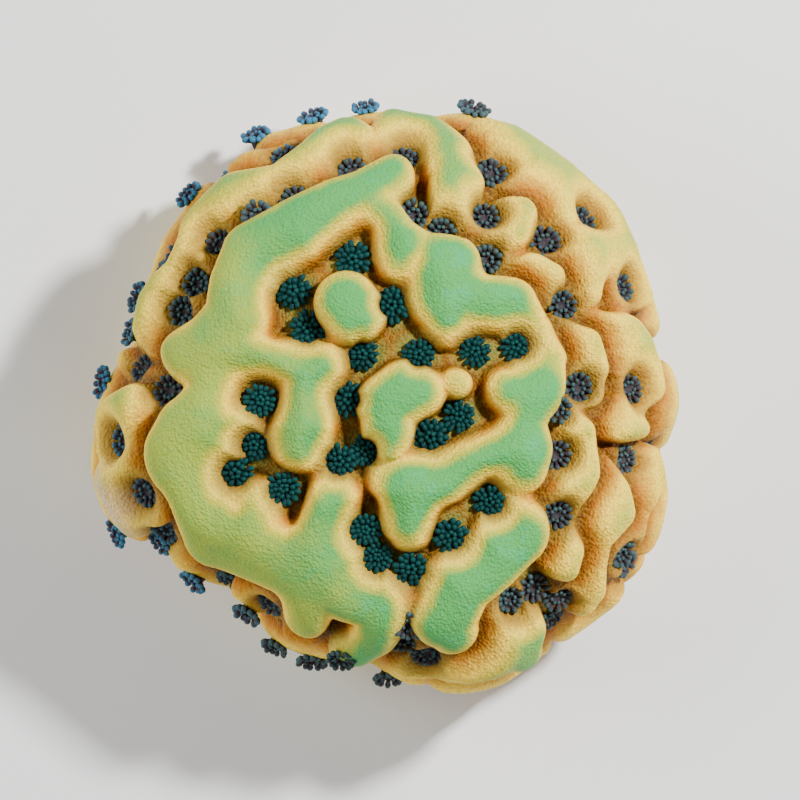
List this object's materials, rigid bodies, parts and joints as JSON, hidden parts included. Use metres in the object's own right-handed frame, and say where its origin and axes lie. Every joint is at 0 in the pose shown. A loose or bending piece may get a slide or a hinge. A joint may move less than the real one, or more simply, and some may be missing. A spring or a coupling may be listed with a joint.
{
  "type": "montipora coral colony",
  "caption": "Small mounded montipora coral colony with winding rounded ridges in tiers, polyps in the valleys between them, cut off flat underneath to rest on a surface.",
  "frame": {"origin": "middle of the flat cut face under the colony, on the surface that it rests on", "axes": "+Z up from the cut face; +X to the right and +Y up as the picture shows the colony from above"},
  "size_m": [0.0209, 0.0212, 0.0104],
  "materials": {
    "coral_tissue": "matt living tissue over limestone skeleton: pale green crests, cream rims and orange brown valleys, with a fine grain",
    "polyp_tissue": "soft dark teal polyps with lighter tentacle tips and a slight wet sheen"
  },
  "bodies": {
    "root": {"coral_colony": "coral_tissue"}
  },
  "joints": []
}
